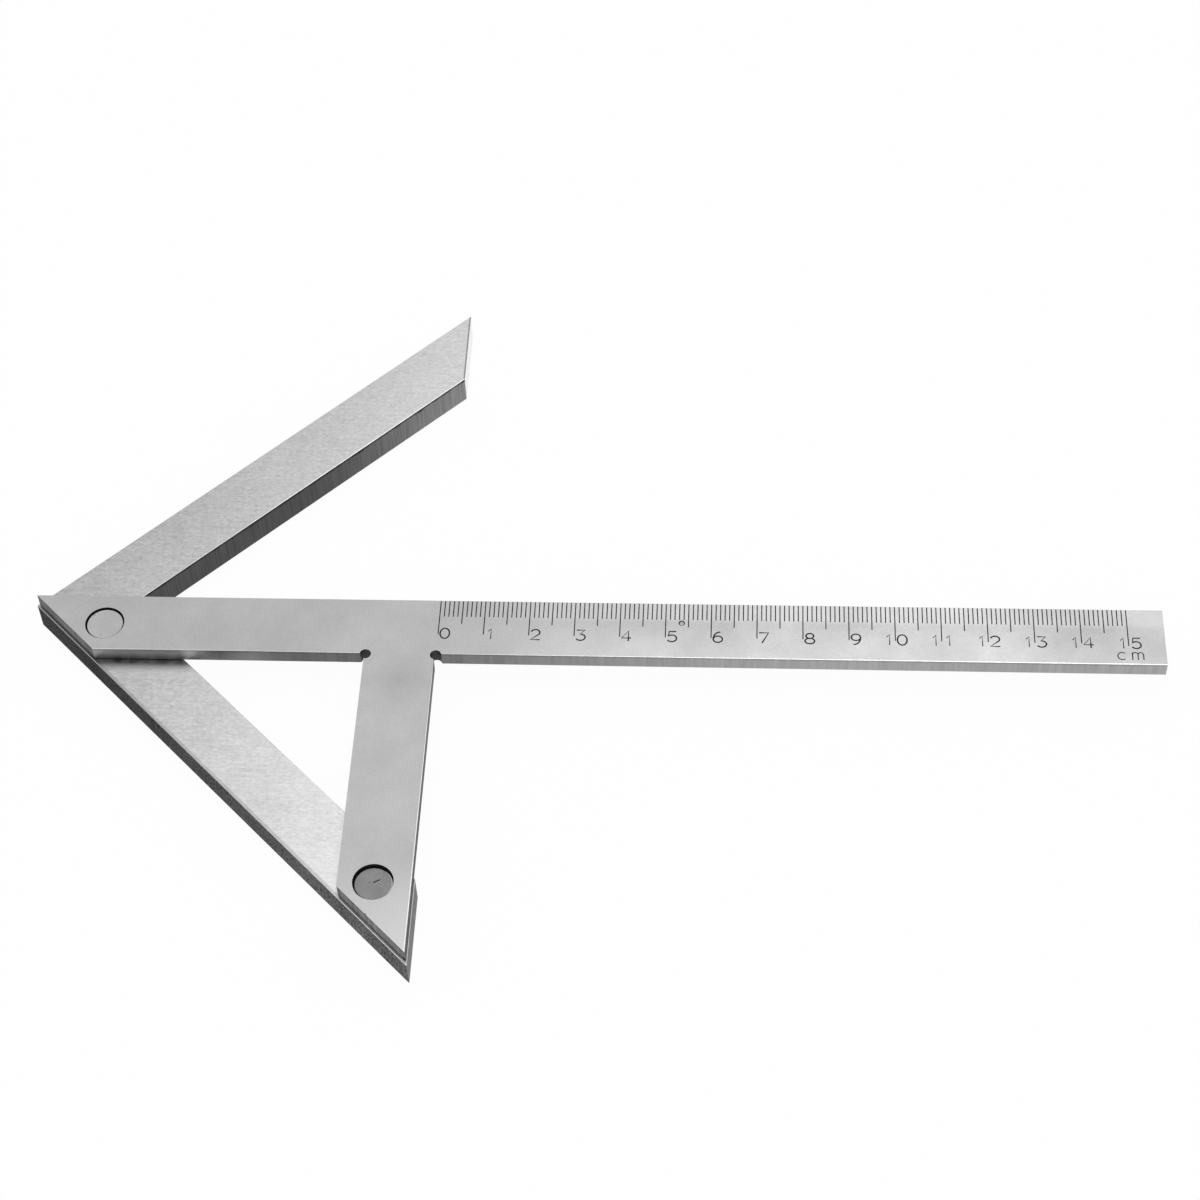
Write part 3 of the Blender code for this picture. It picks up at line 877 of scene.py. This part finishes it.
def buildRivet(name, middle, fit, finish, rim=None):
    # the head sits off the middle of its hole
    spot = [a + b for a, b in zip(middle, fit["shift"])]
    head = plateHigh - fit["recess"]
    chamfer = fit["chamfer"]
    shank, tail, recess = rivets["shankRadius"], rivets["tailRadius"], rivets["tailRecess"]
    flare = fit["head"] - shank
    tailRim = recess + rivets["tailRim"]
    piece = stack(name, spot, [
        (tail - chamfer, recess), (tail, recess + chamfer), (tail, tailRim), (shank, tailRim + tail - shank),
        (shank, head - rivets["headRim"] - flare), (fit["head"], head - rivets["headRim"]),
        (fit["head"], head - chamfer), (fit["head"] - chamfer, head)])
    piece.data.materials.append(finish)
    # painted shade: the rivet's sides take the near-black of the hole walls
    paint(piece, holeWall, lambda face: abs(face.normal.z) < 0.3 and middleOf(face).z > 0.001)
    # painted highlight on the head's broken edge, bright towards +X
    if rim:
        paint(piece, rim, lambda face: 0.3 < face.normal.z < 0.95 and middleOf(face).z > plateLow)
    return piece


apexRivet = buildRivet("apexRivet", apexSpot, apexFit, apexFace)
strutRivet = buildRivet("strutRivet", strutSpot, strutFit, strutFace, strutRim)
finishPiece(apexRivet, "rivet_apex")
finishPiece(strutRivet, "rivet_strut")
print("rivets made")


# Camera, as fitted to the scale lines and the edges

view = {"spot": (0.14807, -0.38303, 0.48998), "lens": 83.22, "shiftX": 0.06625, "shiftY": 0.00042,
        "right": (0.99676418, 0.06014375, -0.05332816), "down": (0.01361124, -0.78014885, -0.62544585)}
right, down = Vector(view["right"]), Vector(view["down"])
back = right.cross(-down)
eye = bpy.data.cameras.new("camera")
eye.lens = view["lens"]
eye.sensor_width = 36
eye.shift_x = view["shiftX"]
eye.shift_y = view["shiftY"]
eye.clip_start = 0.01
camera = bpy.data.objects.new("camera", eye)
camera.matrix_world = Matrix.Translation(view["spot"]) @ Matrix((right, -down, back)).transposed().to_4x4()
bpy.context.scene.collection.objects.link(camera)
bpy.context.scene.camera = camera


# Floor, surroundings and lamps

room = {"floorSize": 4.0, "floorWhite": 0.96, "floorColour": 0.9, "fill": 0.8, "gloss": 1.0}
lamps = {
    "softboxBehind": {"spot": (0.245, 0.65, 0.85), "aim": (0.17, 0, 0), "size": (0.30, 0.22), "power": 0.28},
    "softboxLeft": {"spot": (-0.09, 0.42, 0.83), "aim": (0.05, -0.06, 0), "size": (0.25, 0.2), "power": 0.03},
    "softboxAbove": {"spot": (0.1, -0.1, 1.1), "aim": (0.1, 0, 0), "size": (0.6, 0.6), "power": 2.5},
}


def seenRays(nodes):
    # 1 for what is seen, straight, mirrored or through something, 0 for the light that falls on things
    paths = nodes.node("ShaderNodeLightPath").socket.node
    kinds = ("Is Camera Ray", "Is Glossy Ray", "Is Transmission Ray")
    seen = [Wire(nodes, paths.outputs[kind]) for kind in kinds]
    return (seen[0] + seen[1] + seen[2]).maths("MINIMUM", 1.0)


def blendInto(nodes, output, share, plain, white):
    blend = nodes.node("ShaderNodeMixShader", {}, {0: share, 1: plain, 2: white})
    nodes.tree.links.new(blend.socket, nodes.tree.nodes[output].inputs["Surface"])


def buildFloor():
    bpy.ops.object.select_all(action="DESELECT")
    bpy.ops.mesh.primitive_plane_add(size=room["floorSize"], location=(0.1, 0, 0))
    floor = settled("floor")
    material = bpy.data.materials.new("paleFloor")
    material.use_nodes = True
    nodes = Nodes(material.node_tree)
    nodes.tree.nodes.remove(nodes.tree.nodes["Principled BSDF"])
    matt = nodes.node("ShaderNodeBsdfDiffuse", {}, {"Color": grey(room["floorColour"])})
    white = nodes.node("ShaderNodeEmission", {}, {"Strength": 1.0})
    blendInto(nodes, "Material Output", seenRays(nodes) * room["floorWhite"], matt, white)
    floor.data.materials.append(material)


def buildWorld():
    world = bpy.data.worlds.new("studio")
    bpy.context.scene.world = world
    world.use_nodes = True
    nodes = Nodes(world.node_tree)
    nodes.tree.nodes.remove(nodes.tree.nodes["Background"])
    fill, white = [nodes.node("ShaderNodeBackground", {}, {"Color": grey(1.0), "Strength": room[key]})
                   for key in ("fill", "gloss")]
    blendInto(nodes, "World Output", seenRays(nodes), fill, white)


def buildLamps():
    for name, lamp in lamps.items():
        light = bpy.data.lights.new(name, "AREA")
        light.shape = "RECTANGLE"
        light.size, light.size_y = lamp["size"]
        light.energy = lamp["power"]
        item = bpy.data.objects.new(name, light)
        item.location = lamp["spot"]
        aim = Vector(lamp["aim"]) - Vector(lamp["spot"])
        item.rotation_euler = aim.to_track_quat("-Z", "Y").to_euler()
        bpy.context.scene.collection.objects.link(item)


buildFloor()
buildWorld()
buildLamps()
bpy.context.scene.view_settings.view_transform = "Standard"
print("floor, surroundings and lamps in place")
